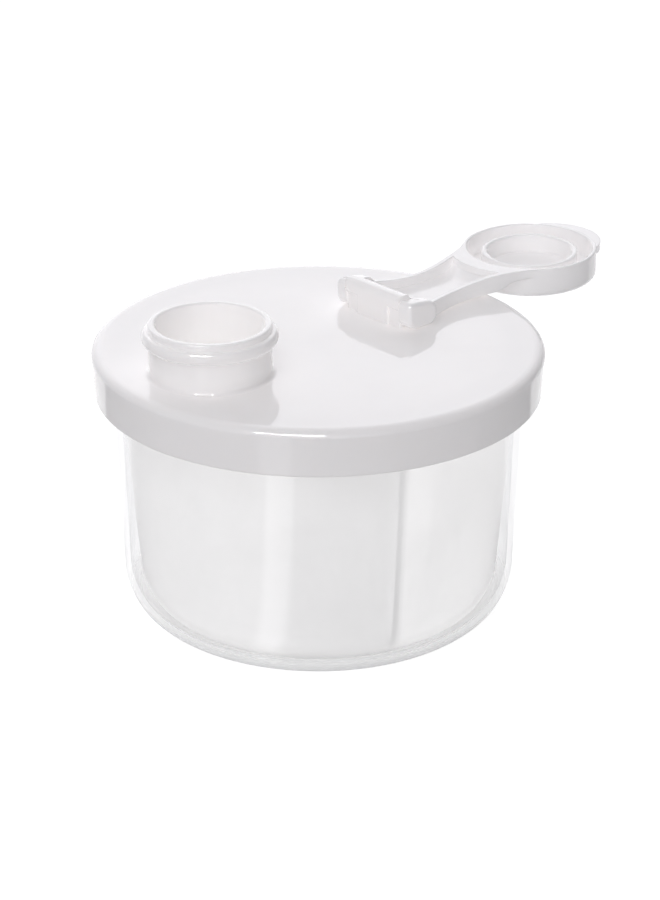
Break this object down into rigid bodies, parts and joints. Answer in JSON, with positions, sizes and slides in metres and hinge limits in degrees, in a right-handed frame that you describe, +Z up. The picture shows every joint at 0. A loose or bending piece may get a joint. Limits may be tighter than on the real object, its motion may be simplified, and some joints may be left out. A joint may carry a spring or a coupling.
{
  "type": "formula dispenser",
  "caption": "Round clear cup with a removable three-wall insert and a turning white lid, whose spout closes with a hinged flip cap.",
  "frame": {"origin": "centre of the cup's base", "axes": "+Z up along the cup's axis; +Y from the spout towards the hinge and the open flip cap; +X along the flip cap's hinge axis"},
  "size_m": [0.11, 0.1518, 0.0811],
  "materials": {
    "clear_cup": "clear glossy plastic",
    "frosted_insert": "milky translucent plastic, satin",
    "soft_seal": "soft translucent white silicone",
    "white_lid": "glossy white plastic",
    "white_cap": "glossy white plastic"
  },
  "bodies": {
    "cup": {"cup": "clear_cup"},
    "insert": {"compartment_insert": "frosted_insert"},
    "seal": {"lid_seal": "soft_seal"},
    "lid": {"lid": "white_lid"},
    "flip_cap": {"flip_cap": "white_cap"}
  },
  "joints": [
    {"name": "insert_lift", "type": "slide", "parent": "cup", "child": "insert", "axis": [0, 0, 1], "range_m": [0, 0.09]},
    {"name": "lid_lift", "type": "slide", "parent": "insert", "child": "seal", "axis": [0, 0, 1], "range_m": [0, 0.06]},
    {"name": "lid_turn", "type": "hinge", "parent": "seal", "child": "lid", "pos_m": [0, 0, 0.0686], "axis": [0, 0, 1], "continuous": true},
    {"name": "cap_hinge", "type": "hinge", "parent": "lid", "child": "flip_cap", "pos_m": [-0.0025, 0.022, 0.0744], "axis": [1, 0, 0], "range_deg": [0, 179]}
  ]
}
